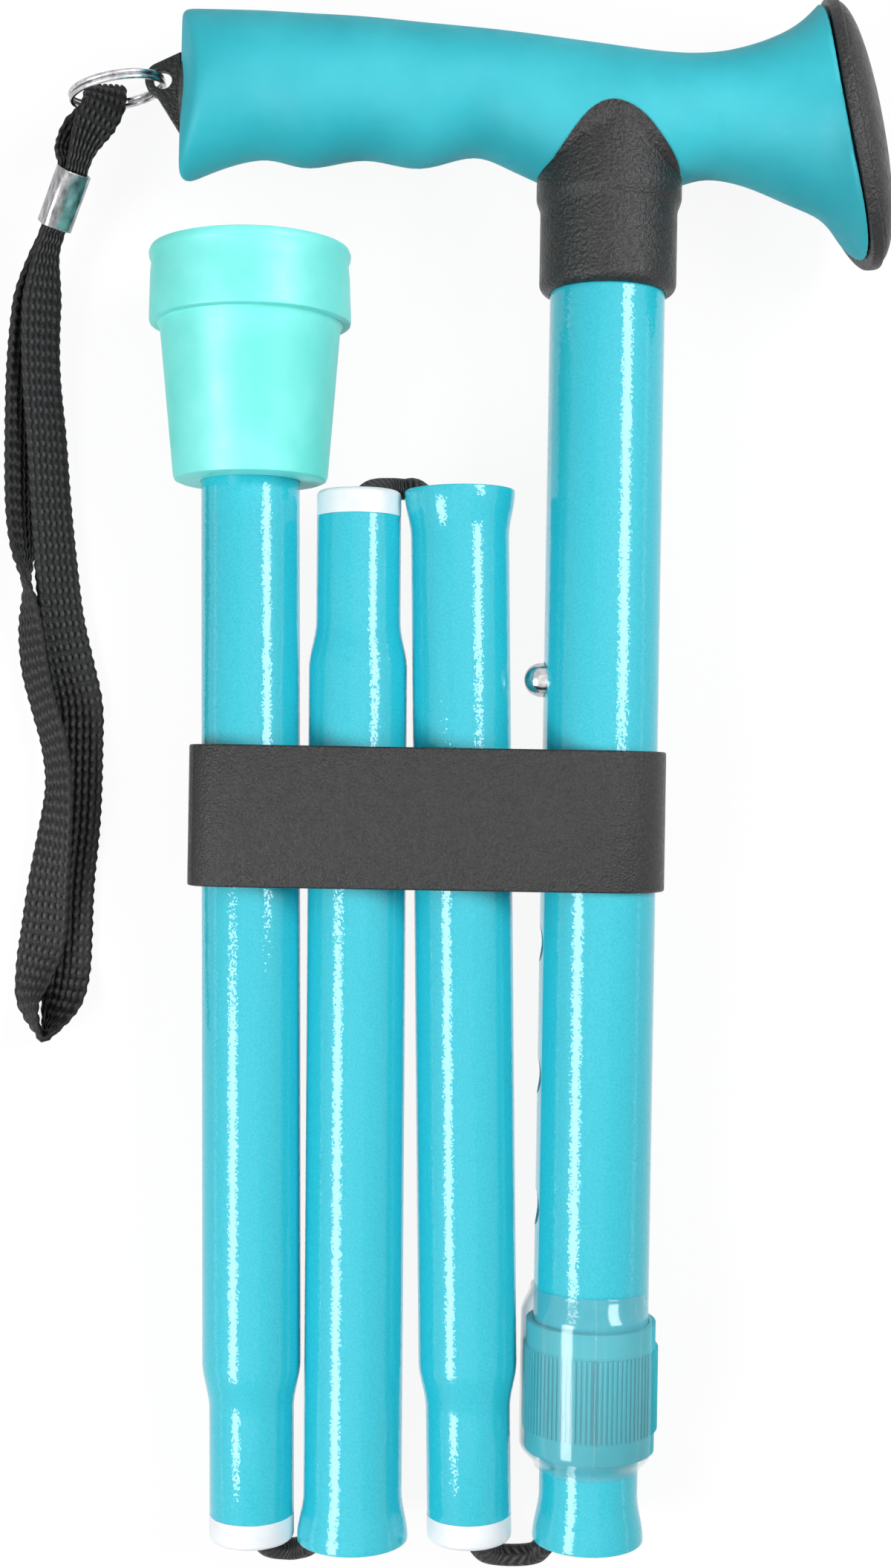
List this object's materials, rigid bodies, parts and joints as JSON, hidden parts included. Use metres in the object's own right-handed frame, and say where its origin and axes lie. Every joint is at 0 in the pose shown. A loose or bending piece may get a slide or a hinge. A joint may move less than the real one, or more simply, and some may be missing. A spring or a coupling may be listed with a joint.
{
  "type": "folding walking cane",
  "caption": "Folding walking cane with an offset palm grip, telescopic handle tube, elastic-corded tube sections, rubber foot, holding clip and wrist strap, folded into a bundle.",
  "frame": {"origin": "under the middle of the folded cane's box, on the surface that its rubber foot lies on", "axes": "+X along the handle to its palm end, +Y up the handle tube, +Z away from the surface it lies on"},
  "size_m": [0.1748, 0.3024, 0.0385],
  "materials": {
    "tube_paint": "glossy turquoise paint with a fine sparkle over aluminium tube",
    "grip_gel": "matte soft-touch turquoise gel",
    "core_plastic": "moulded black plastic",
    "black_plastic": "grained black plastic",
    "nut_plastic": "satin turquoise plastic, ribbed",
    "white_plastic": "semi-gloss white plastic",
    "clear_plastic": "clear flexible plastic",
    "steel": "bright steel",
    "ring_steel": "plated steel wire",
    "ferrule_metal": "bright crimped aluminium",
    "tip_rubber": "semi-matte mint rubber",
    "elastic_cord": "black braided elastic cord",
    "webbing": "coarse black woven webbing",
    "clip_plastic": "grained black plastic"
  },
  "bodies": {
    "handle": {"gel_grip": "grip_gel", "handle_core": "core_plastic", "neck_collar": "black_plastic", "end_cap": "black_plastic", "lanyard_tab": "black_plastic", "outer_tube": "tube_paint", "lock_bush": "white_plastic"},
    "lock_nut": {"lock_collar": "nut_plastic", "clear_sleeve": "clear_plastic"},
    "slider": {"inner_tube": "tube_paint", "guide_bush": "white_plastic", "button_spring": "steel", "cord_anchor": "white_plastic", "cord_run_a": "elastic_cord"},
    "button": {"snap_button": "steel"},
    "fold_link_1": {"cord_loop_ab": "elastic_cord"},
    "section_2": {"section_b": "tube_paint", "plug_b": "white_plastic", "cord_run_b": "elastic_cord"},
    "fold_link_2": {"cord_loop_bc": "elastic_cord"},
    "section_3": {"section_c": "tube_paint", "plug_c": "white_plastic", "cord_run_c": "elastic_cord"},
    "fold_link_3": {"cord_loop_cd": "elastic_cord"},
    "section_4": {"section_d": "tube_paint", "plug_d": "white_plastic", "cord_run_d": "elastic_cord", "rubber_tip": "tip_rubber", "tip_disc": "steel", "cord_knot": "elastic_cord", "cord_washer": "steel"},
    "clip": {"holding_clip": "clip_plastic"},
    "lanyard": {"split_ring": "ring_steel", "strap_head": "webbing", "ferrule": "ferrule_metal", "strap": "webbing"}
  },
  "joints": [
    {"name": "height_slide", "type": "slide", "parent": "handle", "child": "slider", "axis": [0, -1, 0], "range_m": [0, 0.1016], "deforming": ["snap_button", "holding_clip"]},
    {"name": "button_press", "type": "slide", "parent": "slider", "child": "button", "axis": [1, 0, 0], "range_m": [0, 0.005], "stiffness_N_per_m": 300, "deforming": ["button_spring"]},
    {"name": "lock_turn", "type": "hinge", "parent": "handle", "child": "lock_nut", "pos_m": [0.01803, -0.11, 0.01925], "axis": [0, 1, 0], "range_deg": [0, 90]},
    {"name": "unfold_1", "type": "hinge", "parent": "slider", "child": "fold_link_1", "pos_m": [0.00663, -0.14561, 0.01925], "axis": [0, 0, 1], "range_deg": [0, 178.55], "deforming": ["cord_loop_ab", "cord_loop_bc", "cord_loop_cd", "holding_clip", "strap"]},
    {"name": "plug_1", "type": "slide", "parent": "fold_link_1", "child": "section_2", "axis": [0.0253, -0.9997, 0], "range_m": [0, 0.0334], "deforming": ["cord_loop_ab", "cord_loop_bc", "cord_loop_cd"]},
    {"name": "plug_2", "type": "slide", "parent": "section_2", "child": "fold_link_2", "axis": [0.0253, -0.9997, 0], "range_m": [-0.0001, 0.0335]},
    {"name": "unfold_2", "type": "hinge", "parent": "fold_link_2", "child": "section_3", "pos_m": [-0.0196, 0.05679, 0.01925], "axis": [0, 0, -1], "range_deg": [-0.2, 179.4]},
    {"name": "plug_3", "type": "slide", "parent": "section_3", "child": "fold_link_3", "axis": [-0.0096, 1, 0], "range_m": [-0.0001, 0.0335]},
    {"name": "unfold_3", "type": "hinge", "parent": "fold_link_3", "child": "section_4", "pos_m": [-0.03705, -0.14639, 0.01925], "axis": [0, 0, 1], "range_deg": [-0.2, 179.8]},
    {"name": "clip_slide", "type": "slide", "parent": "handle", "child": "clip", "axis": [0, 1, 0], "range_m": [-0.06, 0.035]},
    {"name": "lanyard_swing", "type": "hinge", "parent": "handle", "child": "lanyard", "pos_m": [-0.06847, 0.13489, 0.01925], "axis": [0, 0, -1], "range_deg": [0, 35]}
  ],
  "couplings": [
    {"joint": "unfold_2", "follows": "unfold_1", "ratio": 1.0031},
    {"joint": "unfold_3", "follows": "unfold_1", "ratio": 1.0056},
    {"joint": "plug_2", "follows": "plug_1", "ratio": 1},
    {"joint": "plug_3", "follows": "plug_1", "ratio": 1}
  ]
}
